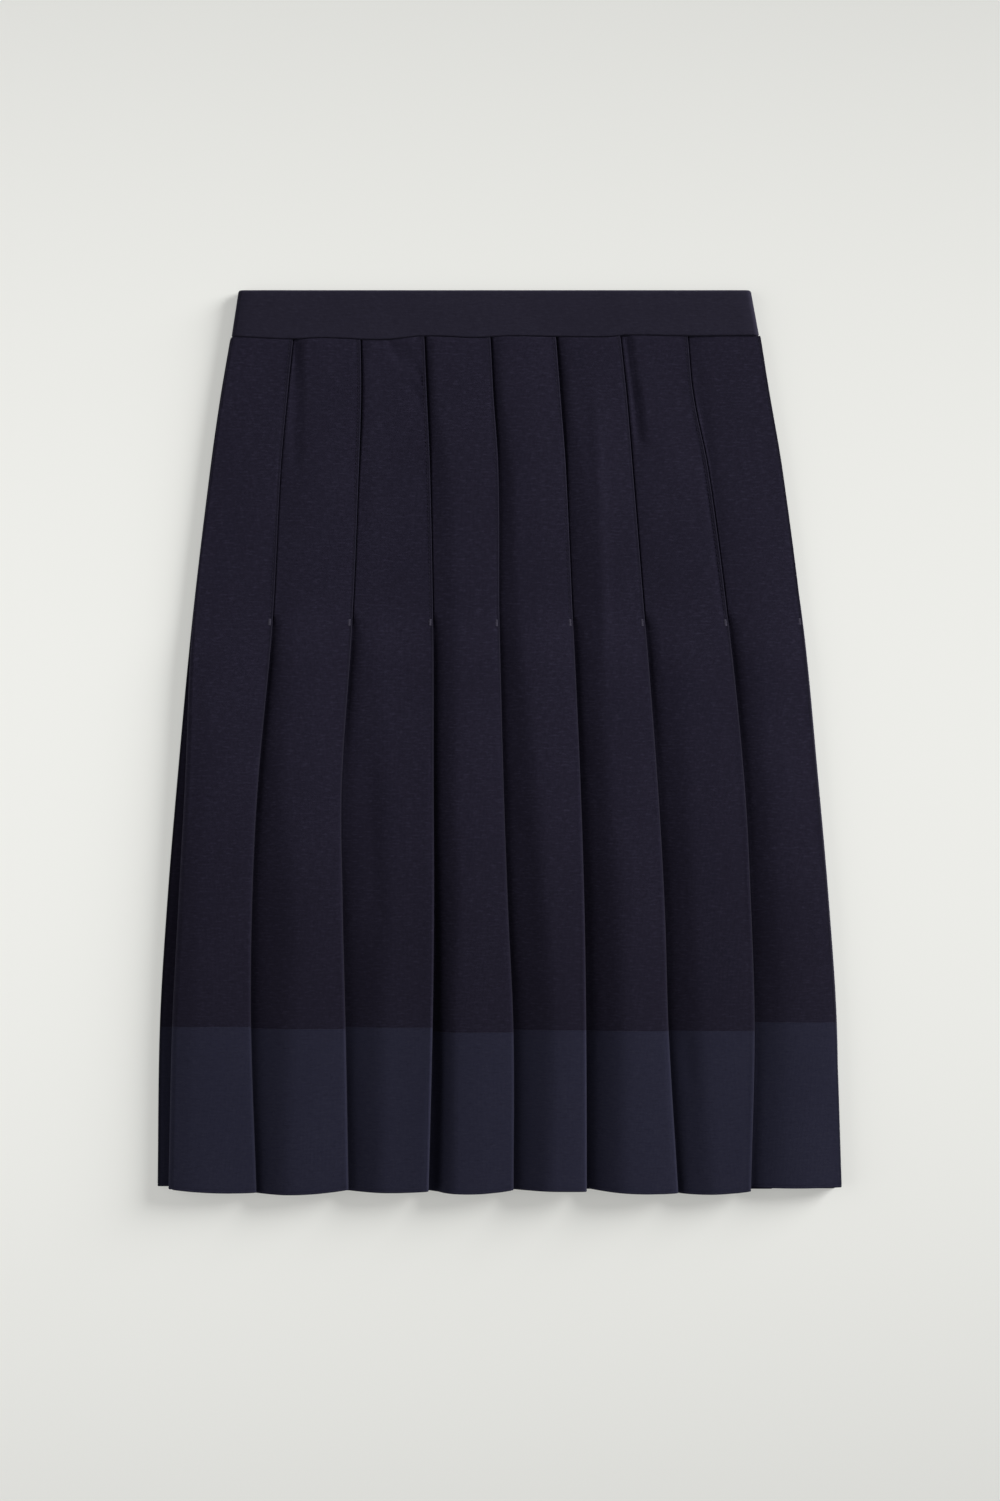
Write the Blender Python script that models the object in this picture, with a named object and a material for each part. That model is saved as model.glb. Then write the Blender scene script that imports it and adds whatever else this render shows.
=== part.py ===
"""A pleated knit skirt laid flat on its back, seen from above.

One tube of fine knit with knife pleats that all turn the same way, so the folds of the front face
right and those of the back face left. The waistband is a flattened ring of doubled knit, and the
hem band is a second knit joined below the front and the back.

X runs to the viewer's right, Y towards the waist and Z up from the surface the skirt lies on. Sizes
are in millimetres until a point becomes a mesh vertex.
"""

import math

import bmesh
import bpy

MM = 0.001

# Cloth
WALL = 1.0
GAP = 0.3
PITCH = WALL + GAP

# Lengths down the skirt from the waist seam
WAISTBAND_HIGH = 32.8
BAND_DOWN = 469.0
HEM_DOWN = 582.2
LENGTH = WAISTBAND_HIGH + HEM_DOWN
SEAM_Y = LENGTH / 2 - WAISTBAND_HIGH

# Where the layers of the back and of the front lie, at the middle of the cloth
BACK = [WALL / 2 + PITCH * layer for layer in range(3)]
FRONT = [BACK[2] + PITCH * (layer + 1) for layer in range(3)]

# Across the skirt at each station down it: the back's fold, the front's side turn, the eight fold
# edges of the front, and the side turn on the right
SECTION = ("down", "back_fold", "left", "e1", "e2", "e3", "e4", "e5", "e6", "e7", "e8", "right")
SECTIONS = [
    (0.0, -182.8, -182.0, -140.6, -94.7, -51.3, -6.3, 38.3, 82.1, 128.0, 177.6, 174.5),
    (39.0, -189.6, -188.8, -144.5, -94.3, -49.6, -4.2, 41.3, 86.4, 131.8, 184.1, 181.0),
    (90.0, -196.8, -196.0, -149.0, -95.9, -47.4, -0.9, 45.1, 90.6, 142.0, 192.7, 190.0),
    (192.0, -208.9, -208.3, -154.5, -100.3, -45.4, -0.2, 49.8, 98.8, 155.4, 205.8, 206.3),
    (303.0, -219.3, -213.4, -164.5, -107.6, -45.1, 2.5, 54.8, 107.3, 166.4, 216.0, 217.2),
    (386.0, -226.1, -217.9, -168.5, -106.9, -44.8, 5.5, 57.4, 112.0, 170.7, 223.2, 224.4),
    (469.0, -231.0, -222.1, -169.2, -104.9, -45.7, 9.2, 58.6, 114.6, 173.1, 228.6, 229.7),
    (582.2, -232.5, -224.6, -165.5, -102.9, -47.2, 9.3, 59.0, 121.2, 170.6, 232.5, 230.5),
]
FOLDS = 8

# At the same stations, a row for each fold edge of the front: how far it stands up
LIFTS = [
    (0.8, 0.6, 0.6, 0.6, 3.0, 3.2, 3.0, 3.0),
    (1.2, 1.0, 0.8, 0.8, 2.5, 3.0, 3.2, 3.5),
    (1.0, 1.2, 1.0, 0.8, 2.5, 4.0, 6.0, 6.5),
    (1.4, 1.5, 1.8, 1.5, 2.5, 3.0, 3.5, 3.5),
    (1.4, 1.6, 1.8, 1.5, 3.0, 5.0, 6.5, 7.0),
    (1.2, 1.2, 1.6, 1.6, 2.8, 3.2, 3.5, 4.0),
    (0.8, 0.8, 0.8, 0.8, 2.2, 2.8, 3.0, 3.5),
    (0.1, 0.1, 0.1, 0.1, 0.3, 0.3, 0.3, 0.3),
]

# At the same stations, a row for each face of the front: the width over which it climbs out of the
# valley beside the fold on its left
VALLEYS = [
    (30.0, 30.0, 30.0, 30.0, 30.0, 30.0, 30.0, 30.0),
    (8.0, 15.0, 20.0, 18.0, 20.0, 34.0, 38.0, 26.0),
    (6.0, 6.0, 11.0, 18.0, 36.0, 36.0, 32.0, 30.0),
    (8.0, 8.0, 16.0, 18.0, 17.0, 20.0, 13.0, 18.0),
    (12.0, 10.0, 14.0, 24.0, 29.0, 30.0, 34.0, 28.0),
    (9.0, 8.0, 20.0, 27.0, 24.0, 28.0, 32.0, 36.0),
    (10.0, 11.0, 8.0, 26.0, 24.0, 24.0, 26.0, 28.0),
    (8.0, 8.0, 13.0, 18.0, 18.0, 20.0, 24.0, 24.0),
]

# Over the whole front at the same stations: how deep a pleat is folded, how far a face swells
# between its folds, and the radius of the turn at the left side
SHAPE = ("depth", "swell", "turn")
SHAPES = [
    (18.0, 0.3, 1.95),
    (18.0, 0.3, 1.95),
    (18.0, 0.4, 1.95),
    (18.0, 0.6, 1.95),
    (20.0, 1.2, 2.0),
    (20.0, 1.4, 2.1),
    (20.0, 1.4, 2.2),
    (20.0, 1.4, 2.3),
]
FACE_SWELL = (0.6, 1.0, 0.7, 1.1, 1.0, 1.4, 0.8, 1.4)  # each face's share of it
ROLL = 0.3  # how much of its lift a fold edge turns into radius
BORNE = 0.25  # how much of the lift the layer under a pleat shares

# How far above the lowest point each face's hem lies at its left, middle and right, and how far its
# band line lies above the level one
FACE = ("hem_left", "hem_middle", "hem_right", "band")
FACES = [
    (3.4, 1.0, 1.2, 0.7),
    (0.7, 0.0, 3.2, -0.7),
    (2.4, 1.2, 2.2, 0.3),
    (2.4, 0.3, 3.0, -3.0),
    (3.2, 2.4, 2.2, -1.4),
    (4.0, 0.7, 1.0, -2.0),
    (0.7, 0.0, 2.0, -2.0),
    (4.6, 4.0, 4.6, 3.6),
]
BACK_HEM = 3.0
LAST_FOLD_HEM = 4.6

# Rows of the mesh down the skirt
PANEL_ROWS = (0.0, 39.0, 90.0, 141.0, 192.0, 247.0, 303.0, 386.0)
BAND_ROWS = (525.0,)
FREE_STEPS = 5
OVERLAP_STEPS = 4
EDGE_STEPS = 4
INNER_STEPS = 3
DROP = 10.0  # in this width a face of the back comes down beside the fold over it

# Waistband
BAND_WALL = 3.4
BAND_LEFT = (-177.6, -182.4)
BAND_RIGHT = (171.4, 177.0)
BAND_ROUND = 1.0
BAND_STEPS = 6

NAVY = (0.017, 0.015, 0.026, 1.0)
LIGHT_NAVY = (0.021, 0.020, 0.034, 1.0)


def along(knots, values, at):
    """A smooth curve through values at knots, read at one place."""
    last = len(knots) - 1
    at = min(max(at, knots[0]), knots[last])
    i = 0
    while i < last - 1 and at > knots[i + 1]:
        i += 1

    def slope(k):
        a, b = max(k - 1, 0), min(k + 1, last)
        return (values[b] - values[a]) / (knots[b] - knots[a])

    span = knots[i + 1] - knots[i]
    t = (at - knots[i]) / span
    rise = values[i + 1] - values[i]
    start, end = slope(i) * span, slope(i + 1) * span
    return values[i] + t * start + t * t * (3 * rise - 2 * start - end) + t**3 * (start + end - 2 * rise)


DOWNS = [row[0] for row in SECTIONS]


def section(down):
    """The measures of the skirt at one place down it, by name."""
    found = {}
    for column, name in enumerate(SECTION):
        found[name] = along(DOWNS, [row[column] for row in SECTIONS], down)
    for column, name in enumerate(SHAPE):
        found[name] = along(DOWNS, [row[column] for row in SHAPES], down)
    found["edges"] = [found[f"e{k + 1}"] for k in range(FOLDS)]
    found["lifts"] = [along(DOWNS, lifts, down) for lifts in LIFTS]
    found["valleys"] = [along(DOWNS, valleys, down) for valleys in VALLEYS]
    return found


def arc(x, z, radius, start, end, count):
    """Points inside an arc about (x, z), from one angle to another in degrees, without its ends."""
    angles = [math.radians(start + (end - start) * i / count) for i in range(1, count)]
    return [(x + radius * math.cos(a), z + radius * math.sin(a)) for a in angles]


def spread(start, end, count):
    """Even places from start to end."""
    return [start + (end - start) * i / count for i in range(count + 1)]


def face_hem(face, u):
    """How far a face's hem lies above the lowest point, at u from its left, 0, to its right, 1."""
    left, middle, right, _ = FACES[face]
    return left * (1 - u) * (1 - 2 * u) + middle * 4 * u * (1 - u) + right * u * (2 * u - 1)


def front_path(down):
    """The front's cloth across the skirt, as (x, z, hem, band) from its left end to its right end."""
    s = section(down)
    path = []
    inner = PITCH / 2
    turn = s["turn"]
    left = s["left"]

    def add(points, hem, band):
        path.extend((x, z, hem, band) for x, z in points)

    tuck = s["back_fold"] + s["depth"]
    first_hem, first_band = FACES[0][0], FACES[0][3]
    flat = [(x, BACK[2]) for x in spread(tuck, left + turn, OVERLAP_STEPS)]
    add(flat, LAST_FOLD_HEM, first_band)
    add(arc(left + turn, BACK[2] + turn, turn, 270, 90, EDGE_STEPS), first_hem, first_band)

    start_x, start_z = left + turn, BACK[2] + 2 * turn
    for k in range(FOLDS):
        edge, lift, valley = s["edges"][k], s["lifts"][k], s["valleys"][k]
        band = FACES[k][3]
        swell = s["swell"] * FACE_SWELL[k]
        radius = inner + ROLL * lift
        wide = edge - left
        tuck = edge - s["depth"]
        level = FRONT[2] + lift

        def top(x):
            """The face's height: out of the valley on its left, and on to its fold edge."""
            u = min(1.0, max(0.0, (x - left) / wide))
            v = min(1.0, max(0.0, (x - start_x) / valley))
            return start_z + (level - start_z) * math.sin(math.pi / 2 * v) + swell * math.sin(math.pi * u)

        free = spread(start_x, tuck + inner, FREE_STEPS)
        over = spread(tuck + inner, edge - radius, OVERLAP_STEPS)
        for x in free + over[1:-1]:
            u = min(1.0, max(0.0, (x - left) / wide))
            add([(x, top(x))], face_hem(k, u), band)
        hem = FACES[k][2]
        add([(edge - radius, level)], hem, band)
        add(arc(edge - radius, level - radius, radius, 90, -90, EDGE_STEPS), hem, band)
        last = k + 1 == FOLDS
        next_hem = hem if last else FACES[k + 1][0]
        next_band = band if last else FACES[k + 1][3]
        fall = level - 2 * radius
        seat = FRONT[0] + BORNE * lift
        for i, x in enumerate(reversed(over)):
            t = i / OVERLAP_STEPS
            z = seat + PITCH + (fall - seat - PITCH) * (1 - t) ** 1.5
            add([(x, z)], hem + (next_hem - hem) * t, band + (next_band - band) * t)
        if last:
            break
        turned = tuck + inner
        add(arc(turned, seat + inner, inner, 90, 270, INNER_STEPS), next_hem, next_band)
        add([(x, seat) for x in over], next_hem, next_band)
        left = edge
        start_x, start_z = edge + inner, seat
    return path


def back_path(down):
    """The back's cloth from its right end, under the front, round to its last fold on the left."""
    s = section(down)
    inner = PITCH / 2
    turn = (FRONT[0] - BACK[0]) / 2
    side_hem = FACES[-1][2]
    tuck = s["edges"][-1] - s["depth"] + inner
    path = [(x, FRONT[0], side_hem) for x in spread(tuck, s["right"] - turn, OVERLAP_STEPS)]
    round_side = arc(s["right"] - turn, BACK[0] + turn, turn, 90, -90, EDGE_STEPS)
    path += [(x, z, side_hem) for x, z in round_side]
    x_from = s["right"] - turn
    shift = s["back_fold"] + s["edges"][-1]
    for k in range(FOLDS):
        edge = shift - s["edges"][k]
        hem = LAST_FOLD_HEM if k + 1 == FOLDS else BACK_HEM
        path += [(x_from, BACK[0], BACK_HEM), (edge + inner, BACK[0], hem)]
        path += [(x, z, hem) for x, z in arc(edge + inner, BACK[0] + inner, inner, 270, 90, INNER_STEPS)]
        over = spread(edge + inner, edge + s["depth"] - inner, 1)
        path += [(x, BACK[1], hem) for x in over]
        if k + 1 == FOLDS:
            break
        turned = edge + s["depth"] - inner
        path += [(x, z, hem) for x, z in arc(turned, BACK[1] + inner, inner, -90, 90, INNER_STEPS)]
        path += [(x, BACK[2], hem) for x in reversed(over)]
        x_from = edge - inner - DROP
        path.append((edge - inner, BACK[2], hem))
        for t in (1 / 3, 2 / 3):
            ease = (1 + math.cos(math.pi * t)) / 2
            path.append((edge - inner - DROP * t, BACK[0] + (BACK[2] - BACK[0]) * ease, hem))
    return [(x, z, hem, 0.0) for x, z, hem in path]


def offset(path, by):
    """The path moved sideways by a distance, to its left as it runs, its corners kept sharp."""
    moved = []
    last = len(path) - 1
    for i, point in enumerate(path):
        before, after = path[max(i - 1, 0)], path[min(i + 1, last)]
        sides = []
        for a, b in ((before, point), (point, after)):
            x, z = b[0] - a[0], b[1] - a[1]
            long = math.hypot(x, z)
            if long > 0:
                sides.append((-z / long, x / long))
        x = sum(side[0] for side in sides) / len(sides)
        z = sum(side[1] for side in sides) / len(sides)
        share = by / (x * x + z * z)
        moved.append((point[0] + x * share, point[1] + z * share))
    return moved


def down_to_y(down, hem, band):
    """The place of a point down the cloth, with the uneven band line and hem worked in."""
    if down <= BAND_DOWN:
        return SEAM_Y - down + band * (down / BAND_DOWN) ** 2
    share = (down - BAND_DOWN) / (HEM_DOWN - BAND_DOWN)
    return SEAM_Y - down + band + (hem - band) * share


def cloth_rows(make_path, rows):
    """Both sides of the cloth at each row: lists of (outer, inner) points in metres."""
    made = []
    for down in rows:
        path = make_path(down)
        ys = [down_to_y(down, hem, band) for _, _, hem, band in path]
        sides = []
        for by in (WALL / 2, -WALL / 2):
            points = offset(path, by)
            sides.append([(x * MM, y * MM, z * MM) for (x, z), y in zip(points, ys)])
        made.append(sides)
    return made


def new_object(name, bm, colour):
    """A named object from a bmesh, with its own knit material."""
    bmesh.ops.recalc_face_normals(bm, faces=bm.faces)
    mesh = bpy.data.meshes.new(name)
    bm.to_mesh(mesh)
    bm.free()
    mesh.shade_smooth()
    mesh.set_sharp_from_angle(angle=math.radians(40))
    thing = bpy.data.objects.new(name, mesh)
    bpy.context.collection.objects.link(thing)
    material = bpy.data.materials.new(f"{name} knit")
    material.use_nodes = True
    shader = material.node_tree.nodes["Principled BSDF"]
    shader.inputs["Base Color"].default_value = colour
    shader.inputs["Roughness"].default_value = 0.9
    shader.inputs["Metallic"].default_value = 0.0
    mesh.materials.append(material)
    return thing


def cloth(name, make_path, rows, colour):
    """A wall of cloth through rows of sections, closed at its ends and edges."""
    made = cloth_rows(make_path, rows)
    bm = bmesh.new()
    grid = [[[bm.verts.new(point) for point in side] for side in row] for row in made]

    def patch(a, b, c, d):
        """Two triangles for the corners a, b of one row and c, d of the next, split from low x."""
        if a.co.x <= b.co.x:
            halves = ((a, b, d), (a, d, c))
        else:
            halves = ((a, b, c), (b, d, c))
        for half in halves:
            bm.faces.new(half)

    for row, after in zip(grid, grid[1:]):
        for side in (0, 1):
            for i in range(len(row[side]) - 1):
                patch(row[side][i], row[side][i + 1], after[side][i], after[side][i + 1])
        for end in (0, -1):
            patch(row[0][end], row[1][end], after[0][end], after[1][end])
    for row in (grid[0], grid[-1]):
        for i in range(len(row[0]) - 1):
            bm.faces.new((row[0][i], row[0][i + 1], row[1][i + 1], row[1][i]))
    return new_object(name, bm, colour)


def flat_ring(left, right, low, high, shrink):
    """A stadium outline round a flattened tube, drawn in on every side by shrink."""
    radius = (high - low) / 2 - shrink
    middle = (low + high) / 2
    points = []
    for x, start in ((right - shrink - radius, -90), (left + shrink + radius, 90)):
        for i in range(BAND_STEPS + 1):
            angle = math.radians(start + 180 * i / BAND_STEPS)
            points.append((x + radius * math.cos(angle), middle + radius * math.sin(angle)))
    return points


def waistband():
    """The doubled band of knit, a flattened ring with its top edge rounded over."""
    high = 2 * BAND_WALL + GAP
    top = SEAM_Y + WAISTBAND_HIGH
    bottom = SEAM_Y + GAP
    bm = bmesh.new()
    rows = []
    for y, shrink in ((bottom, 0.0), (top - BAND_ROUND, 0.0), (top, BAND_ROUND)):
        share = (y - SEAM_Y) / WAISTBAND_HIGH
        left = BAND_LEFT[1] + (BAND_LEFT[0] - BAND_LEFT[1]) * share
        right = BAND_RIGHT[1] + (BAND_RIGHT[0] - BAND_RIGHT[1]) * share
        outer = flat_ring(left, right, 0.0, high, shrink)
        inner = flat_ring(left, right, 0.0, high, BAND_WALL)
        rows.append([[bm.verts.new((x * MM, y * MM, z * MM)) for x, z in loop] for loop in (outer, inner)])
    count = len(rows[0][0])
    for row, after in zip(rows, rows[1:]):
        for side in (0, 1):
            for i in range(count):
                j = (i + 1) % count
                bm.faces.new((row[side][i], row[side][j], after[side][j], after[side][i]))
    for row in (rows[0], rows[-1]):
        for i in range(count):
            j = (i + 1) % count
            bm.faces.new((row[0][i], row[0][j], row[1][j], row[1][i]))
    return new_object("waistband", bm, NAVY)


def main():
    for thing in list(bpy.data.objects):
        bpy.data.objects.remove(thing, do_unlink=True)
    waistband()
    panel_rows = PANEL_ROWS + (BAND_DOWN - GAP / 2,)
    band_rows = (BAND_DOWN + GAP / 2,) + BAND_ROWS + (HEM_DOWN,)
    cloth("front_panel", front_path, panel_rows, NAVY)
    cloth("back_panel", back_path, panel_rows, NAVY)
    cloth("front_hem_band", front_path, band_rows, LIGHT_NAVY)
    cloth("back_hem_band", back_path, band_rows, LIGHT_NAVY)


main()
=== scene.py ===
"""The looks of a pleated knit skirt laid flat: fine cloth shells, their sewing, knit and light."""

import math

import bmesh
import bpy
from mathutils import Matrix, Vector, noise


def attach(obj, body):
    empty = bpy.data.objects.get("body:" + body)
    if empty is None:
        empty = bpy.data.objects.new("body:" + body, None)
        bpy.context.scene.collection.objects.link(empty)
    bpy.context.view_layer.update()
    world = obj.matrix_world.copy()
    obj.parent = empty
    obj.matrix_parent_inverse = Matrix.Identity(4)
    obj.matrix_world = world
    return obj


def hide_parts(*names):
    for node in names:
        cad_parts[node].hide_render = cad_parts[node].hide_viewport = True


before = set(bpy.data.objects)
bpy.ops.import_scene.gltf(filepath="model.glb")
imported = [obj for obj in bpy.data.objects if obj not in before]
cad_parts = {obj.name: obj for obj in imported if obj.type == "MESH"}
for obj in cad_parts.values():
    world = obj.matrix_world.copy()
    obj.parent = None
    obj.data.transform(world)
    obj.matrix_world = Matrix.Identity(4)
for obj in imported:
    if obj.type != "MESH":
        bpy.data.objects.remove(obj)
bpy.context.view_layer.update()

MM = 0.001

# Cloth, in millimetres until a point becomes a vertex
WALL = 1.0
GAP = 0.3
PITCH = WALL + GAP
WAISTBAND_HIGH = 32.8
BAND_DOWN = 469.0
HEM_DOWN = 582.2
LENGTH = WAISTBAND_HIGH + HEM_DOWN
SEAM_Y = LENGTH / 2 - WAISTBAND_HIGH
RELEASE = 189.0  # where the stitching that holds the pleats ends, down from the waist seam
BACK = [WALL / 2 + PITCH * layer for layer in range(3)]
FRONT = [BACK[2] + PITCH * (layer + 1) for layer in range(3)]

# Across the skirt at each station down it: the folds and turns of the front and the back
SECTION = ("down", "back_fold", "left", "e1", "e2", "e3", "e4", "e5", "e6", "e7", "e8", "right")
SECTIONS = [
    (0.0, -182.8, -182.0, -140.6, -94.7, -51.3, -6.3, 38.3, 82.1, 128.0, 177.6, 174.5),
    (39.0, -189.6, -188.8, -144.5, -94.3, -49.6, -4.2, 41.3, 86.4, 131.8, 184.1, 181.0),
    (90.0, -196.8, -196.0, -149.0, -95.9, -47.4, -0.9, 45.1, 90.6, 142.0, 192.7, 190.0),
    (192.0, -208.9, -208.3, -154.5, -100.3, -45.4, -0.2, 49.8, 98.8, 155.4, 205.8, 206.3),
    (303.0, -219.3, -213.4, -164.5, -107.6, -45.1, 2.5, 54.8, 107.3, 166.4, 216.0, 217.2),
    (386.0, -226.1, -217.9, -168.5, -106.9, -44.8, 5.5, 57.4, 112.0, 170.7, 223.2, 224.4),
    (469.0, -231.0, -222.1, -169.2, -104.9, -45.7, 9.2, 58.6, 114.6, 173.1, 228.6, 229.7),
    (582.2, -232.5, -224.6, -165.5, -102.9, -48.4, 9.3, 59.0, 121.2, 170.6, 232.5, 230.5),
]
DOWNS = [row[0] for row in SECTIONS]
FOLDS = 8

# A row for each fold, its values at those stations: how far its edge stands up, and how wide the
# valley is on the left of its face
LIFTS = [
    (0.8, 0.6, 0.6, 0.6, 3.0, 3.8, 4.0, 4.0),
    (1.2, 1.0, 0.8, 0.8, 2.5, 4.2, 4.8, 5.0),
    (1.0, 1.2, 1.0, 0.8, 2.5, 4.5, 6.2, 6.5),
    (1.4, 1.5, 1.8, 1.5, 2.5, 4.0, 4.8, 5.0),
    (1.4, 1.8, 2.2, 1.9, 3.2, 5.2, 6.5, 7.0),
    (1.2, 1.2, 1.6, 1.6, 2.8, 4.0, 4.8, 5.0),
    (0.8, 0.8, 0.8, 0.8, 2.2, 3.4, 3.8, 4.0),
    (0.1, 0.1, 0.1, 0.1, 0.5, 1.0, 1.2, 1.2),
]
VALLEYS = [
    (12.0, 12.0, 12.0, 12.0, 12.0, 12.0, 12.0, 12.0),
    (8.0, 15.0, 20.0, 18.0, 20.0, 34.0, 32.0, 23.0),
    (6.0, 6.0, 11.0, 18.0, 36.0, 36.0, 31.0, 26.0),
    (8.0, 8.0, 16.0, 18.0, 17.0, 18.0, 11.0, 11.0),
    (10.0, 9.0, 12.0, 15.0, 26.0, 30.0, 34.0, 28.0),
    (9.0, 8.0, 16.0, 20.0, 22.0, 28.0, 29.0, 28.0),
    (10.0, 11.0, 8.0, 26.0, 24.0, 24.0, 26.0, 28.0),
    (8.0, 8.0, 13.0, 18.0, 18.0, 20.0, 24.0, 24.0),
]
# The share of each valley's rise that comes at once, where the fold before it is pressed flat
STEPS = [
    (0.0, 0.0, 0.0, 0.0, 0.0, 0.0, 0.0, 0.0),
    (0.1, 0.6, 0.75, 0.7, 0.1, 0.0, 0.0, 0.0),
    (0.6, 0.8, 0.65, 0.65, 0.0, 0.0, 0.0, 0.0),
    (0.5, 0.6, 0.2, 0.4, 0.1, 0.1, 0.3, 0.3),
    (0.4, 0.5, 0.0, 0.0, 0.0, 0.0, 0.0, 0.0),
    (0.5, 0.6, 0.2, 0.2, 0.0, 0.0, 0.0, 0.0),
    (0.3, 0.5, 0.7, 0.7, 0.0, 0.0, 0.0, 0.2),
    (0.5, 0.7, 0.75, 0.7, 0.2, 0.0, 0.0, 0.3),
]
TOP_OPEN = (0.0, 0.0, 0.5, 1.0, 1.0, 1.2, 0.0, 0.0)  # how far each valley opens below the waist seam

# The width of that quick rise: where the pleats are stitched, and what is added where a valley opens
# at the top and where the pleats hang loose
QUICK_HELD = 1.1
QUICK_OPEN = 3.4
QUICK_LOOSE = 5.5

# The dark slot beside one fold: the face that leaves it, its width, where it starts down from the waist
# seam, and the length in which it reaches its width
SLOTTED = 3
SLOT_WIDE = 6.5
SLOT_FROM = 350.0
SLOT_GROWS = 190.0

SHAPE = ("depth", "swell")  # how deep each pleat is, and how far a free face swells
SHAPES = [
    (18.0, 0.3),
    (18.0, 0.3),
    (18.0, 0.4),
    (18.0, 0.6),
    (20.0, 1.2),
    (20.0, 1.4),
    (20.0, 1.4),
    (20.0, 1.4),
]
FACE_SWELL = (0.6, 1.0, -0.4, 1.1, 1.0, 1.4, 0.8, 1.4)
ROLL = 0.3  # how much of its lift the bend at a fold edge grows by, up and down
REACH = 0.06  # and across
BORNE = (0.4, 0.4, 0.1, 0.4, 0.2, 0.4, 0.4, 0.4)  # how much of its lift the layers under a fold share
# For each face: how far its hem lies above the lowest point, at its left, middle and right, and how far
# its band line lies above the level one
FACES = [
    (3.4, 1.0, 1.2, 0.7),
    (0.7, 0.0, 3.2, -0.7),
    (2.4, 1.2, 2.2, 0.3),
    (2.4, 0.3, 3.0, -3.0),
    (3.2, 2.4, 2.2, -1.4),
    (4.0, 0.7, 1.0, -2.0),
    (0.7, 0.0, 2.0, -2.0),
    (4.6, 4.0, 4.6, 3.6),
]
BACK_HEM = 3.0  # the same for the back
LAST_FOLD_HEM = 4.6  # and for its last fold, on the left

# Soft creases of the front: from (x, down) to (x, down), how wide and how high, where below 0 sinks
CREASE = ("x", "down", "to_x", "to_down", "wide", "high")
CREASES = [
    (-137.5, 8.0, -138.5, 78.0, 3.0, -0.9),
    (87.0, 2.0, 92.5, 36.0, 2.0, -1.1),
    (92.5, 38.0, 96.0, 70.0, 2.2, -1.7),
    (-75.0, 0.0, -56.0, 38.0, 2.2, -0.7),
    (-68.0, 0.0, -52.0, 30.0, 1.8, -0.5),
    (-88.0, 300.0, -83.0, 396.0, 6.0, -0.6),
    (16.0, 330.0, 23.0, 412.0, 7.0, -0.6),
    (128.0, 478.0, 129.5, 505.0, 4.0, -0.5),
    (137.0, 40.0, 152.0, 175.0, 3.0, -0.5),
    (66.0, 60.0, 72.0, 205.0, 4.0, 0.6),
]

# How far the waist seam wanders up, at places across it
SEAM_PLACES = (-180, -142, -120, -79, -52, -16, 5, 55, 75, 84, 130, 170)
SEAM_RISES = (0.9, -0.9, 0.0, -1.4, 1.2, 0.0, 1.2, 0.5, 0.6, 1.8, 1.2, 1.6)

# Mesh
ROW_STEP = 4.0
FREE_STEPS = 10
EDGE_STEPS = 8
INNER_STEPS = 4
UNDER_STEPS = 5
SIDE_STEPS = 6
NEAR_EDGE = (0.0, 0.6, 1.1, 1.6, 2.1, 2.7, 3.8, 5.5, 8.5)  # points of a face beside its fold edge
NEAR_START = (0.0, 0.4, 0.9, 1.4, 1.9, 2.4)  # and beside the fold before it
DROP = 10.0  # in this width a face of the back comes down beside the fold over it
STITCH_IN = 1.3  # from the flat end of a fold edge to its row of stitches
GROOVE = 0.05  # how far that row sinks in
HEM_LINE = 1.5  # from the hem's edge to the line above it
FOLD_RUN = 0.097  # from one fold edge to the next in the knit's own map

# Waistband: its ends at its top and at the seam
BAND_WALL = 3.4
BAND_LEFT = (-177.6, -182.4)
BAND_RIGHT = (171.4, 177.0)
BAND_ROUND = 1.1  # the rounding of its lower edge, which makes the line of the seam

# Colours: each knit's ground and its flecks, with how many flecks show, and the threads
BODY_KNIT = ((0.0112, 0.0095, 0.0198, 1.0), (0.024, 0.021, 0.040, 1.0), 0.5)
BAND_KNIT = ((0.0145, 0.0128, 0.0237, 1.0), (0.024, 0.022, 0.037, 1.0), 0.35)
HEM_KNIT = ((0.0178, 0.0178, 0.0352, 1.0), (0.029, 0.029, 0.049, 1.0), 0.3)
THREAD = (0.0125, 0.011, 0.0205, 1.0)
TACK_THREAD = (0.05, 0.046, 0.066, 1.0)
# The paper's colour, which the floor also gives out as painted light
PAPER = (0.55, 0.552, 0.529, 1.0)
BLACK = (0.0, 0.0, 0.0, 1.0)
WALE = 0.9  # from one column of loops to the next
COURSE = 0.75  # and from one row to the next

# Camera: the size of a pixel of the photograph, and in pixels its middle and the middle of the skirt
PIXEL = 0.68 * MM
PHOTO_HIGH = 1501
PHOTO_CENTRE = (500.0, 750.5)
SKIRT_CENTRE = (499.25, 741.85)
CAMERA_HIGH = 2.4
CLOTH_HIGH = 0.008  # the height at which a pixel has that size
SENSOR = 36.0


def along(knots, values, at):
    """A smooth curve through values at knots, read at one place."""
    last = len(knots) - 1
    at = min(max(at, knots[0]), knots[last])
    i = 0
    while i < last - 1 and at > knots[i + 1]:
        i += 1

    def slope(k):
        """The slope at one knot."""
        a, b = max(k - 1, 0), min(k + 1, last)
        return (values[b] - values[a]) / (knots[b] - knots[a])

    span = knots[i + 1] - knots[i]
    t = (at - knots[i]) / span
    rise = values[i + 1] - values[i]
    start, end = slope(i) * span, slope(i + 1) * span
    return values[i] + t * start + t * t * (3 * rise - 2 * start - end) + t**3 * (start + end - 2 * rise)


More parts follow.
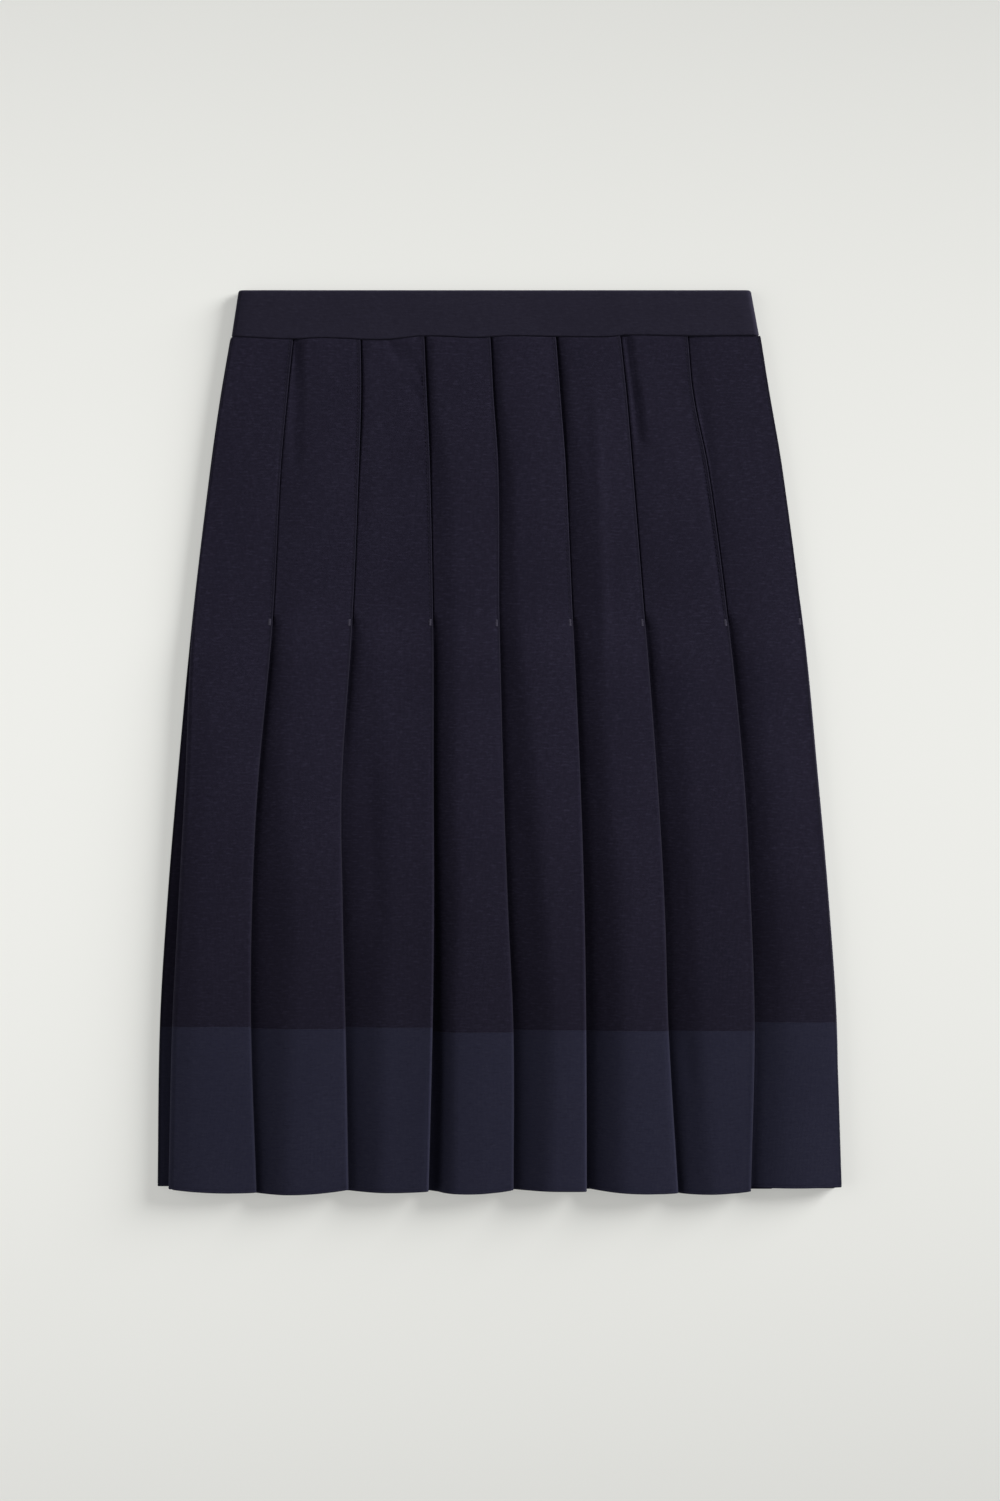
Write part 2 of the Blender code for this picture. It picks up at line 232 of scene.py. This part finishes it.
def section(down):
    """The measures of the skirt at one place down it, by name."""
    found = {}
    for column, name in enumerate(SECTION):
        found[name] = along(DOWNS, [row[column] for row in SECTIONS], down)
    for column, name in enumerate(SHAPE):
        found[name] = along(DOWNS, [row[column] for row in SHAPES], down)
    found["edges"] = [found[f"e{k + 1}"] for k in range(FOLDS)]
    found["lifts"] = [along(DOWNS, lifts, down) for lifts in LIFTS]
    found["valleys"] = [along(DOWNS, valleys, down) for valleys in VALLEYS]
    found["steps"] = [along(DOWNS, steps, down) for steps in STEPS]
    return found


def arc(x, z, radius, start, end, count):
    """Points inside an arc about (x, z), from one angle to another in degrees, without its ends."""
    angles = [math.radians(start + (end - start) * i / count) for i in range(1, count)]
    return [(x + radius * math.cos(a), z + radius * math.sin(a)) for a in angles]


def spread(start, end, count):
    """Even places from start to end."""
    return [start + (end - start) * i / count for i in range(count + 1)]


def clamp(value, low=0.0, high=1.0):
    """The value kept between low and high."""
    return min(high, max(low, value))


def smooth(t):
    """0 to 1 with a soft start and end."""
    t = clamp(t)
    return t * t * (3 - 2 * t)


def bell(distance, width):
    """1 at no distance, and soon 0 beyond the width."""
    return math.exp(-((distance / width) ** 2))


def face_hem(face, u):
    """How far a face's hem lies above the lowest point, at u from its left, 0, to its right, 1."""
    left, middle, right, _ = FACES[face]
    return left * (1 - u) * (1 - 2 * u) + middle * 4 * u * (1 - u) + right * u * (2 * u - 1)


def creased(x, down):
    """The height that the soft creases add at one place of the front."""
    total = 0.3 * noise.noise((x * 0.022, down * 0.012, 3.7))
    for crease in CREASES:
        c = dict(zip(CREASE, crease))
        run_x, run_down = c["to_x"] - c["x"], c["to_down"] - c["down"]
        t = ((x - c["x"]) * run_x + (down - c["down"]) * run_down) / (run_x**2 + run_down**2)
        if not -0.3 < t < 1.3:
            continue
        off = math.hypot(x - c["x"] - run_x * t, down - c["down"] - run_down * t)
        ends = smooth((t + 0.3) / 0.4) * smooth((1.3 - t) / 0.4)
        total += c["high"] * ends * bell(off, c["wide"])
    return total


def held(down):
    """1 where the pleats are stitched down and 0 below."""
    return 1.0 - smooth((down - RELEASE) / 6.0)


def pressed(down):
    """How thin the front's layers are pressed: most where they are stitched, not at all further down."""
    return 0.5 + 0.5 * smooth((down - RELEASE + 10.0) / 45.0)


def climb(v):
    """The rise out of a valley: an even slope from 0, eased in to the level face at 1."""
    return (v - 1.25 * max(v - 0.6, 0.0) ** 2) / 0.8


def front_path(down):
    """The front across the skirt, from its left end: (x, z, hem, band, the fold edge it runs with)."""
    s = section(down)
    path = []
    pitch = PITCH * pressed(down)
    inner = pitch / 2
    turn = (FRONT[0] + 2 * pitch - BACK[2] + 0.8 * s["lifts"][0]) / 2
    left = s["left"]

    def add(points, hem, band, fold):
        """Points added to the path with the measures of their face."""
        path.extend((x, z, hem, band, fold) for x, z in points)

    tuck = s["back_fold"] + s["depth"]
    first_hem, first_band = FACES[0][0], FACES[0][3]
    flat = [(x, BACK[2]) for x in spread(tuck, left + turn, UNDER_STEPS)]
    add(flat, LAST_FOLD_HEM, first_band, 0)
    add(arc(left + turn, BACK[2] + turn, turn, 270, 90, EDGE_STEPS), first_hem, first_band, 0)

    start_x, start_z = left + turn, BACK[2] + 2 * turn
    for k in range(FOLDS):
        edge, lift, valley, step = s["edges"][k], s["lifts"][k], s["valleys"][k], s["steps"][k]
        band = FACES[k][3]
        swell = s["swell"] * FACE_SWELL[k]
        quick = QUICK_HELD + QUICK_OPEN * TOP_OPEN[k] * bell(down - 40.0, 40.0)
        quick += QUICK_LOOSE * (1 - held(down))
        radius, reach = inner + ROLL * lift, inner + REACH * lift
        wide = edge - left
        tuck = edge - s["depth"]
        level = FRONT[0] + 2 * pitch + lift
        seat = FRONT[0] + BORNE[k] * lift
        slot = SLOT_WIDE * smooth((down - SLOT_FROM) / SLOT_GROWS) if k == SLOTTED else 0.0
        quick -= slot / 2
        fall = level - 2 * radius
        flat_end = edge - reach

        def under(x):
            """The height of the layer folded under the face."""
            t = clamp((flat_end - x) / (flat_end - tuck - inner))
            return seat + pitch + (fall - seat - pitch) * (1 - t) ** 1.5

        def top(x):
            """The face's height: out of the valley on its left, on to its fold edge, with its creases."""
            u = clamp((x - left) / wide)
            v = clamp((x - start_x - slot) / valley)
            share = step * smooth((x - start_x - slot) / quick) + (1 - step) * climb(v)
            z = start_z + (level - start_z) * share + swell * math.sin(math.pi * u)
            z += creased(x, down) * smooth((x - start_x) / 3.0) * smooth((flat_end - x) / 3.0)
            z -= GROOVE * held(down) * bell(flat_end - STITCH_IN - x, 0.45)
            return max(z, under(x) + pitch - GAP / 3 if x > tuck else FRONT[0] - GAP / 3)

        near = [flat_end - apart for apart in NEAR_EDGE]
        free = spread(start_x + 3.0, tuck + inner, FREE_STEPS)
        for x in [start_x + near_step for near_step in NEAR_START] + free + near[:0:-1]:
            add([(x, top(x))], face_hem(k, clamp((x - left) / wide)), band, k)
        hem = FACES[k][2]
        add([(flat_end, level)], hem, band, k)
        bend = arc(0.0, level - radius, radius, 90, -90, EDGE_STEPS)
        add([(flat_end + x * reach / radius, z) for x, z in bend], hem, band, k)
        last = k + 1 == FOLDS
        next_hem = hem if last else FACES[k + 1][0]
        next_band = band if last else FACES[k + 1][3]
        over = spread(flat_end, tuck + inner, UNDER_STEPS)
        for i, x in enumerate(over):
            t = i / UNDER_STEPS
            add([(x, under(x))], hem + (next_hem - hem) * t, band + (next_band - band) * t, k)
        if last:
            break
        add(arc(tuck + inner, seat + inner, inner, 90, 270, INNER_STEPS), next_hem, next_band, k + 1)
        add([(x, seat) for x in reversed(over)], next_hem, next_band, k + 1)
        left = edge
        start_x, start_z = edge + inner * (1 - 0.6 * held(down)), seat
    return path


def back_path(down):
    """The back from its right end, under the front, round to its last fold on the left."""
    s = section(down)
    inner = PITCH / 2
    turn = (FRONT[0] - BACK[0]) / 2
    side_hem = FACES[-1][2]
    tuck = s["edges"][-1] - s["depth"] + inner
    path = [(x, FRONT[0], side_hem, 0) for x in spread(tuck, s["right"] - turn, UNDER_STEPS)]
    round_side = arc(s["right"] - turn, BACK[0] + turn, turn, 90, -90, EDGE_STEPS)
    path += [(x, z, side_hem, 0) for x, z in round_side]
    x_from = s["right"] - turn
    shift = s["back_fold"] + s["edges"][-1]
    for k in range(FOLDS):
        edge = shift - s["edges"][k]
        hem = LAST_FOLD_HEM if k + 1 == FOLDS else BACK_HEM
        flat = spread(x_from, edge + inner, SIDE_STEPS)
        path += [(x, BACK[0], BACK_HEM + (hem - BACK_HEM) * i / SIDE_STEPS, k) for i, x in enumerate(flat)]
        path += [(x, z, hem, k) for x, z in arc(edge + inner, BACK[0] + inner, inner, 270, 90, SIDE_STEPS)]
        over = spread(edge + inner, edge + s["depth"] - inner, UNDER_STEPS)
        path += [(x, BACK[1], hem, k) for x in over]
        if k + 1 == FOLDS:
            break
        turned = edge + s["depth"] - inner
        path += [(x, z, hem, k + 1) for x, z in arc(turned, BACK[1] + inner, inner, -90, 90, INNER_STEPS)]
        path += [(x, BACK[2], hem, k + 1) for x in reversed(over)]
        x_from = edge - inner - DROP
        for t in spread(0.0, 1.0, SIDE_STEPS)[:-1]:
            ease = (1 + math.cos(math.pi * t)) / 2
            path.append((edge - inner - DROP * t, BACK[0] + (BACK[2] - BACK[0]) * ease, hem, k + 1))
    return [(x, z, hem, 0.0, fold) for x, z, hem, fold in path]


def offset(path, by):
    """The path moved sideways by a distance, to its left as it runs, its corners kept sharp."""
    moved = []
    last = len(path) - 1
    for i, point in enumerate(path):
        before, after = path[max(i - 1, 0)], path[min(i + 1, last)]
        sides = []
        for a, b in ((before, point), (point, after)):
            x, z = b[0] - a[0], b[1] - a[1]
            long = math.hypot(x, z)
            if long > 0:
                sides.append((-z / long, x / long))
        x = sum(side[0] for side in sides) / len(sides)
        z = sum(side[1] for side in sides) / len(sides)
        share = by / (x * x + z * z)
        moved.append((point[0] + x * share, point[1] + z * share))
    return moved


def seam_wander(x):
    """How far the waist seam lies above its level line at one place across it."""
    return along(SEAM_PLACES, SEAM_RISES, x)


def down_to_y(x, down, hem, band):
    """The place of a point down the cloth, with the uneven seam, band line and hem worked in."""
    if down <= BAND_DOWN:
        wander = seam_wander(x) * (1 - smooth(down / 30.0))
        return SEAM_Y - down + band * (down / BAND_DOWN) ** 2 + wander
    share = (down - BAND_DOWN) / (HEM_DOWN - BAND_DOWN)
    return SEAM_Y - down + band + (hem - band) * share


def rows_between(start, end):
    """The rows of a piece, close together at the waist seam and at the hem."""
    rows = spread(start, end, round((end - start) / ROW_STEP))
    if start == 0.0:
        rows[1:1] = [0.4, 0.8, 1.3, 2.2]
    if end == HEM_DOWN:
        rows[-1:] = [end - step for step in (2.4, 1.9, HEM_LINE, 1.1, 0.6, 0.2, 0.0)]
    return rows


def wall(down):
    """The thickness of the cloth: thinner at the waist seam, at the hem's edge and at its line."""
    up = HEM_DOWN - down
    return WALL * (1 - 0.6 * bell(down, 1.2) - 0.3 * bell(up - HEM_LINE, 0.35) - 0.5 * bell(up, 0.3))


def new_piece(name, bm, material):
    """A finished piece from a bmesh, with its material, hung under the root body."""
    mesh = bpy.data.meshes.new(name)
    bm.to_mesh(mesh)
    bm.free()
    mesh.materials.append(material)
    piece = bpy.data.objects.new(name, mesh)
    bpy.context.collection.objects.link(piece)
    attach(piece, "root")
    return piece


def shell(name, rows, material, ring=False):
    """A closed wall of cloth. A row is (points of one side, of the other, places along and down)."""
    bm = bmesh.new()
    uv = bm.loops.layers.uv.new("knit")
    grid = [[[bm.verts.new(p) for p in side] for side in row[:2]] for row in rows]
    places = [row[2] for row in rows]
    count = len(places[0])

    def face(corners, at, soft=True):
        """One face with its places on the knit, with sharp sides unless it is soft."""
        made = bm.faces.new(corners)
        made.smooth = soft
        if not soft:
            for edge in made.edges:
                edge.smooth = False
        for loop, place in zip(made.loops, at):
            loop[uv].uv = place

    for j in range(len(rows) - 1):
        for side in (0, 1):
            a, b = grid[j][side], grid[j + 1][side]
            for i in range(count):
                n = (i + 1) % len(a)
                corners = [a[i], a[n], b[n], b[i]]
                at = [*places[j][i], *places[j + 1][i][::-1]]
                if side:
                    corners, at = corners[::-1], at[::-1]
                face(corners, at)
        for end in () if ring else (0, -1):
            corners = [grid[j][0][end], grid[j][1][end], grid[j + 1][1][end], grid[j + 1][0][end]]
            at = [places[j][end][end]] * 2 + [places[j + 1][end][end]] * 2
            face(corners, at, False)
    for j in (0, -1):
        a, b = grid[j]
        for i in range(count):
            n = (i + 1) % len(a)
            face([a[i], a[n], b[n], b[i]], [*places[j][i], *places[j][i][::-1]], False)
    bmesh.ops.recalc_face_normals(bm, faces=bm.faces)
    return new_piece(name, bm, material)


def cloth(name, make_path, downs, material):
    """A pleated wall of cloth, with the wales of its knit parallel to the fold edges."""
    rows = []
    facing = 1 if make_path is front_path else -1
    for down in downs:
        path = make_path(down)
        ys = [down_to_y(x, down, hem, band) for x, _, hem, band, _ in path]
        run = [0.0]
        for a, b in zip(path, path[1:]):
            run.append(run[-1] + math.hypot(b[0] - a[0], b[1] - a[1]))
        starts = []
        for fold in range(FOLDS):
            members = [i for i, point in enumerate(path) if point[4] == fold]
            edge = max(members, key=lambda i: facing * path[i][0])
            starts.append(fold * FOLD_RUN / MM - run[edge])
        places = []
        for i in range(len(path) - 1):
            start = starts[path[i + 1][4]]
            places.append([((run[n] + start) * MM, down * MM) for n in (i, i + 1)])
        sides = []
        thick = wall(down) * (pressed(down) if make_path is front_path else 1.0)
        for by in (thick / 2, -thick / 2):
            sides.append([(x * MM, y * MM, z * MM) for (x, z), y in zip(offset(path, by), ys)])
        rows.append((*sides, places))
    return shell(name, rows, material)


def flat_ring(left, right, high, shrink):
    """An outline round a flattened tube, drawn in on every side by shrink, as (x, z)."""
    radius = high / 2 - shrink
    middle = high / 2
    from_x, to_x = left + shrink + radius, right - shrink - radius
    points = [(x, middle - radius) for x in spread(from_x, to_x, 40)]
    points += arc(to_x, middle, radius, -90, 90, 8)
    points += [(x, middle + radius) for x in spread(to_x, from_x, 40)]
    points += arc(from_x, middle, radius, 90, 270, 8)
    return points


def waistband(material):
    """The doubled band of knit, a flattened ring, rounded at the seam and folded over at its top."""
    high = 2 * BAND_WALL + GAP
    fold, seam = BAND_WALL / 2, BAND_ROUND
    profile = []
    for angle in spread(0, 90, 6):
        a = math.radians(angle)
        profile.append((GAP / 3 + seam * (1 - math.cos(a)), seam * (1 - math.sin(a)), BAND_WALL))
    profile += [(up, 0.0, BAND_WALL) for up in spread(2.0, WAISTBAND_HIGH - 3.0, 9)]
    for angle in spread(0, 90, 6):
        a = math.radians(angle)
        inset = fold * (1 - math.cos(a))
        profile.append((WAISTBAND_HIGH - fold * (1 - math.sin(a)), inset, BAND_WALL - inset * 0.97))
    rows = []
    for up, inset, inside in profile:
        share = up / WAISTBAND_HIGH
        left = BAND_LEFT[1] + (BAND_LEFT[0] - BAND_LEFT[1]) * share
        right = BAND_RIGHT[1] + (BAND_RIGHT[0] - BAND_RIGHT[1]) * share
        outer = flat_ring(left, right, high, inset)
        sides = []
        for outline in (outer, flat_ring(left, right, high, inside)):
            points = []
            for x, z in outline:
                rise = seam_wander(x) * (1 - smooth(share * 1.1))
                soft = 0.25 * noise.noise((x * 0.03, up * 0.07, 8.1)) * (z > high / 2)
                points.append((x * MM, (SEAM_Y + up + rise) * MM, (z + soft) * MM))
            sides.append(points)
        run = [0.0]
        for a, b in zip(outer, outer[1:] + outer[:1]):
            run.append(run[-1] + math.dist(a, b))
        places = [[(run[n] * MM, up * MM) for n in (i, i + 1)] for i in range(len(outer))]
        rows.append((*sides, places))
    return shell("waistband_knit", rows, material, ring=True)


def stitch_tree():
    """Geometry nodes that lay short rounded stitches along lines."""
    tree = bpy.data.node_groups.new("stitches", "GeometryNodeTree")
    sockets = {}
    kinds = {"Lines": "Geometry", "Pitch": "Float", "Size": "Vector", "Thread": "Material"}
    for name, kind in kinds.items():
        entry = tree.interface.new_socket(name, in_out="INPUT", socket_type=f"NodeSocket{kind}")
        sockets[name] = entry.identifier
    tree.interface.new_socket("Stitches", in_out="OUTPUT", socket_type="NodeSocketGeometry")
    made = {}
    for key, kind, settings in (
        ("in", "NodeGroupInput", {}),
        ("curve", "GeometryNodeMeshToCurve", {}),
        ("points", "GeometryNodeCurveToPoints", {"mode": "LENGTH"}),
        ("turn", "FunctionNodeAlignRotationToVector", {"axis": "Z"}),
        ("ball", "GeometryNodeMeshUVSphere", {}),
        ("copies", "GeometryNodeInstanceOnPoints", {}),
        ("real", "GeometryNodeRealizeInstances", {}),
        ("paint", "GeometryNodeSetMaterial", {}),
        ("soft", "GeometryNodeSetShadeSmooth", {}),
        ("out", "NodeGroupOutput", {}),
    ):
        made[key] = tree.nodes.new(kind)
        for name, value in settings.items():
            setattr(made[key], name, value)
    made["ball"].inputs["Segments"].default_value = 6
    made["ball"].inputs["Rings"].default_value = 4
    made["ball"].inputs["Radius"].default_value = 0.5
    for source, output, target, socket in (
        ("in", "Lines", "curve", "Mesh"),
        ("curve", "Curve", "points", "Curve"),
        ("in", "Pitch", "points", "Length"),
        ("points", "Tangent", "turn", "Vector"),
        ("points", "Points", "copies", "Points"),
        ("ball", "Mesh", "copies", "Instance"),
        ("turn", "Rotation", "copies", "Rotation"),
        ("in", "Size", "copies", "Scale"),
        ("copies", "Instances", "real", "Geometry"),
        ("real", "Geometry", "paint", "Geometry"),
        ("in", "Thread", "paint", "Material"),
        ("paint", "Geometry", "soft", "Geometry"),
        ("soft", "Geometry", "out", "Stitches"),
    ):
        tree.links.new(made[source].outputs[output], made[target].inputs[socket])
    return tree, sockets


def sew(name, lines, pitch, long, thick, nodes, thread):
    """Stitches along lines of points in millimetres, as one piece."""
    tree, sockets = nodes
    mesh = bpy.data.meshes.new(name)
    points, edges = [], []
    for line in lines:
        edges += [(len(points) + i, len(points) + i + 1) for i in range(len(line) - 1)]
        points += [Vector(p) * MM for p in line]
    mesh.from_pydata(points, edges, [])
    guide = bpy.data.objects.new(name + "_guide", mesh)
    bpy.context.collection.objects.link(guide)
    modifier = guide.modifiers.new("stitches", "NODES")
    modifier.node_group = tree
    modifier[sockets["Pitch"]] = pitch * MM
    modifier[sockets["Size"]] = (thick * MM, thick * MM, long * MM)
    modifier[sockets["Thread"]] = thread
    seen = guide.evaluated_get(bpy.context.evaluated_depsgraph_get())
    piece = bpy.data.objects.new(name, bpy.data.meshes.new_from_object(seen))
    bpy.data.objects.remove(guide)
    bpy.context.collection.objects.link(piece)
    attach(piece, "root")
    return piece


def edge_line(fold, down, inside=STITCH_IN):
    """A place on top of the front, beside a fold edge."""
    s = section(down)
    lift = s["lifts"][fold]
    x = s["edges"][fold] - PITCH / 2 * pressed(down) - REACH * lift - inside
    _, _, hem, band = FACES[fold]
    return x, down_to_y(x, down, hem, band), FRONT[0] + (2 * PITCH + WALL / 2) * pressed(down) + lift


def sewing(thread, tack_thread):
    """The rows of stitches that hold the pleats over the hip, and the tacks at their ends."""
    nodes = stitch_tree()
    downs = spread(1.0, RELEASE, 48)
    lines = [[Vector(edge_line(k, d)) - Vector((0, 0, GROOVE)) for d in downs] for k in range(FOLDS)]
    front = [sew("front_edge_stitches", lines, 2.6, 2.0, 0.38, nodes, thread)]
    lines = []
    for k in range(FOLDS):
        line = []
        for down in downs:
            s = section(down)
            x = s["back_fold"] + s["edges"][-1] - s["edges"][k] + PITCH / 2 + STITCH_IN
            line.append((x, down_to_y(x, down, 0, 0), 0.12))
        lines.append(line)
    back = [sew("back_edge_stitches", lines, 2.8, 2.2, 0.42, nodes, thread)]
    lines = []
    for k in range(FOLDS):
        for step in range(6):
            x, y, z = edge_line(k, RELEASE + 2.5 + 0.75 * step, 1.2)
            lines.append([(x, y, z - 0.1), (x + 0.2, y, z - 0.1)])
    front.append(sew("front_bar_tacks", lines, 5.0, 2.2, 0.75, nodes, tack_thread))
    return front, back


class Value:
    """A shader socket that arithmetic works on, each step adding its Math node."""

    def __init__(self, shader, socket):
        self.shader, self.socket = shader, socket

    def math(self, operation, *others):
        """A Math node with this socket first."""
        inputs = dict(enumerate((self,) + others))
        return self.shader.node("ShaderNodeMath", {"operation": operation}, inputs)

    def __add__(self, other):
        return self.math("ADD", other)

    __radd__ = __add__

    def __mul__(self, other):
        return self.math("MULTIPLY", other)

    __rmul__ = __mul__

    def __sub__(self, other):
        return self.math("SUBTRACT", other)

    def __rsub__(self, other):
        return self.shader.node("ShaderNodeMath", {"operation": "SUBTRACT"}, {0: other, 1: self})

    def __pow__(self, other):
        return self.math("POWER", other)

    def step(self, low, high):
        """0 at low and 1 at high, with a soft change between."""
        inputs = {"Value": self, "From Min": low, "From Max": high}
        return self.shader.node("ShaderNodeMapRange", {"interpolation_type": "SMOOTHSTEP"}, inputs)


class Shader:
    """A material, and one way to add any node to it."""

    def __init__(self, name):
        self.material = bpy.data.materials.new(name)
        self.material.use_nodes = True
        self.tree = self.material.node_tree
        self.surface = self.tree.nodes["Principled BSDF"]

    def node(self, kind, settings=None, inputs=None, output=0):
        """A node of one type, with its settings made first and then its sockets, and one output."""
        made = self.tree.nodes.new(kind)
        for name, value in (settings or {}).items():
            setattr(made, name, value)
        self.feed(made, inputs or {})
        return Value(self, made.outputs[output])

    def feed(self, made, inputs):
        """Values or links for a node's sockets."""
        for name, value in inputs.items():
            if isinstance(value, Value):
                self.tree.links.new(value.socket, made.inputs[name])
            else:
                made.inputs[name].default_value = value

    def parts(self, vector):
        """The X and Y of a vector."""
        first = self.node("ShaderNodeSeparateXYZ", None, {0: vector})
        return first, Value(self, first.socket.node.outputs[1])

    def at(self, x, y, z=0.0):
        """A place from its coordinates."""
        return self.node("ShaderNodeCombineXYZ", None, {0: x, 1: y, 2: z})

    def noise(self, place, scale=1.0, detail=2.0):
        """Soft noise at a place."""
        return self.node("ShaderNodeTexNoise", None, {"Vector": place, "Scale": scale, "Detail": detail})

    def mix(self, factor, first, second):
        """One colour turned into another by the factor."""
        return self.node("ShaderNodeMix", {"data_type": "RGBA"}, {0: factor, 6: first, 7: second}, 2)


def knit_material(name, colour, fleck, fleck_share, pleated=True):
    """Fine plain knit: V-shaped loops with painted shade between the wales and flecks along the courses;
    on pleated cloth also painted shade by the fold edges and further down.
    """
    shader = Shader(name)
    across, down = shader.parts(shader.node("ShaderNodeUVMap", {"uv_map": "knit"}))
    drift = shader.noise(shader.at(across * 60.0, down * 25.0))
    side = (((across * 1000.0 + drift) * (1.0 / WALE)).math("FRACT") - 0.5).math("ABSOLUTE")
    loops = ((down * (1000.0 / COURSE) + side * 1.2) * (2 * math.pi)).math("COSINE") * 0.5 + 0.5
    height = loops * (1.0 - (side * 2.0) ** 3.0)

    streaks = shader.noise(shader.at(across * 190.0, down * 850.0))
    fine = shader.noise(shader.at(across * 620.0, down * 900.0), detail=1.0)
    cloudy = shader.noise(shader.at(across * 22.0, down * 16.0), detail=3.0)
    grain = shader.noise(shader.at(across * 330.0, down * 360.0))
    light = streaks.step(0.52, 0.72) * fleck_share + (cloudy - 0.5) * 0.5
    light = light + (fine + grain - 1.0) * 0.7 + 0.08
    # The colour that the yarn's darker flecks and the painted shade turn the ground towards
    dark = (*(c * 0.5 for c in colour[:3]), 1.0)
    shade = shader.mix(light.math("MAXIMUM", 0.0).math("MINIMUM", 1.0), colour, fleck)
    # The darkening: painted shade in the knit's hollows between wales and courses, with the yarn's own
    # darker flecks
    deep = (1.0 - height) * 0.12 + streaks.step(0.46, 0.25) * 0.25
    if pleated:
        # Painted shade along each fold edge, stronger where the pleats hang loose
        apart = ((across * (1.0 / FOLD_RUN) + 0.5).math("FRACT") - 0.5).math("ABSOLUTE") * FOLD_RUN
        edge = apart.step(2.6 * MM, 0.6 * MM) * (0.6 + down.step(0.18, 0.2) * 0.25)
        # Painted shade growing down the lower body, and even over the hem band, which is darker all over
        deep = deep + edge + down.step(0.25, 0.46) * 0.3
    shade = shader.mix(deep.math("MINIMUM", 1.0), shade, dark)

    bumps = {"Strength": 0.5, "Distance": 0.15 * MM, "Height": height + streaks * 0.5}
    shader.feed(shader.surface, {
        "Base Color": shade,
        "Roughness": 0.95 - streaks * 0.15,
        "Metallic": 0.0,
        "Specular IOR Level": 0.06,
        "Sheen Weight": 0.08,
        "Sheen Roughness": 0.45,
        "Sheen Tint": (0.55, 0.57, 0.72, 1.0),
        "Normal": shader.node("ShaderNodeBump", None, bumps),
    })
    return shader.material


def thread_material(name, colour):
    """Sewing thread."""
    shader = Shader(name)
    shader.feed(shader.surface, {"Base Color": colour, "Roughness": 0.8, "Specular IOR Level": 0.1})
    return shader.material


def floor_material():
    """Pale paper with painted shade, darker towards the right and towards the top and bottom, that glows
    with painted light.
    """
    shader = Shader("pale floor")
    x, y = shader.parts(shader.node("ShaderNodeTexCoord", None, None, "Object"))
    high = (y + 0.04) * 2.15
    # Painted shade: the paper darker towards the right, and towards the top and bottom
    light = 0.915 - x * 0.09 - high * high * 0.115
    shade = shader.mix(light.math("MAXIMUM", 0.4), BLACK, PAPER)
    settings = {"Base Color": shade, "Roughness": 0.9, "Specular IOR Level": 0.1}
    # The paper glows with painted light in its own colour, which lightens the shadows cast on it
    shader.feed(shader.surface, {**settings, "Emission Color": shade, "Emission Strength": 0.72})
    return shader.material


def camera():
    """Straight overhead, framed as the photograph."""
    data = bpy.data.cameras.new("overhead")
    data.sensor_width = SENSOR
    data.lens = SENSOR * (CAMERA_HIGH - CLOTH_HIGH) / (PHOTO_HIGH * PIXEL)
    eye = bpy.data.objects.new("overhead", data)
    bpy.context.collection.objects.link(eye)
    x = (PHOTO_CENTRE[0] - SKIRT_CENTRE[0]) * PIXEL
    y = (SKIRT_CENTRE[1] - PHOTO_CENTRE[1]) * PIXEL
    eye.location = (x, y, CAMERA_HIGH)
    bpy.context.scene.camera = eye


def lamp(name, place, size, power):
    """A round area light turned to the skirt."""
    data = bpy.data.lights.new(name, "AREA")
    data.shape = "DISK"
    data.size = size
    data.energy = power
    light = bpy.data.objects.new(name, data)
    bpy.context.collection.objects.link(light)
    light.location = place
    light.rotation_euler = (-Vector(place)).to_track_quat("-Z", "Y").to_euler()


def studio():
    """A pale floor, a broad key light from the upper right and an even fill."""
    bm = bmesh.new()
    bmesh.ops.create_grid(bm, x_segments=1, y_segments=1, size=6.0)
    mesh = bpy.data.meshes.new("floor")
    bm.to_mesh(mesh)
    bm.free()
    mesh.materials.append(floor_material())
    floor = bpy.data.objects.new("floor", mesh)
    floor.location = (0.0, 0.0, -0.0002)
    bpy.context.collection.objects.link(floor)
    lamp("key", (6.6, 3.6, 2.15), 4.2, 1430.0)
    lamp("left", (-5.5, 0.5, 1.8), 7.0, 220.0)
    world = bpy.data.worlds.new("studio")
    world.use_nodes = True
    world.node_tree.nodes["Background"].inputs["Color"].default_value = (1.0, 1.0, 1.0, 1.0)
    world.node_tree.nodes["Background"].inputs["Strength"].default_value = 0.2
    bpy.context.scene.world = world
    bpy.context.scene.view_settings.view_transform = "Standard"


def main():
    """The whole scene: camera, light, cloth and sewing."""
    camera()
    studio()
    body = knit_material("navy body knit", *BODY_KNIT)
    band = knit_material("navy band knit", *BAND_KNIT, pleated=False)
    hem = knit_material("lighter hem knit", *HEM_KNIT)
    panel_rows = rows_between(0.0, BAND_DOWN - GAP / 10)
    band_rows = rows_between(BAND_DOWN + GAP / 10, HEM_DOWN)
    thread = thread_material("navy thread", THREAD)
    tack_thread = thread_material("tack thread", TACK_THREAD)
    front_sewing, back_sewing = sewing(thread, tack_thread)
    for name, make_path, rows, material, slot, under, sewn in (
        ("front_panel", front_path, panel_rows, body, "navy_body_knit", ["back_panel"], front_sewing),
        ("back_panel", back_path, panel_rows, body, "navy_body_knit", [], back_sewing),
        ("front_hem_band", front_path, band_rows, hem, "lighter_hem_knit", ["back_hem_band"], []),
        ("back_hem_band", back_path, band_rows, hem, "lighter_hem_knit", [], []),
    ):
        piece = cloth(name + "_knit", make_path, rows, material)
        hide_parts(name)
    ring = waistband(band)
    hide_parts("waistband")


main()
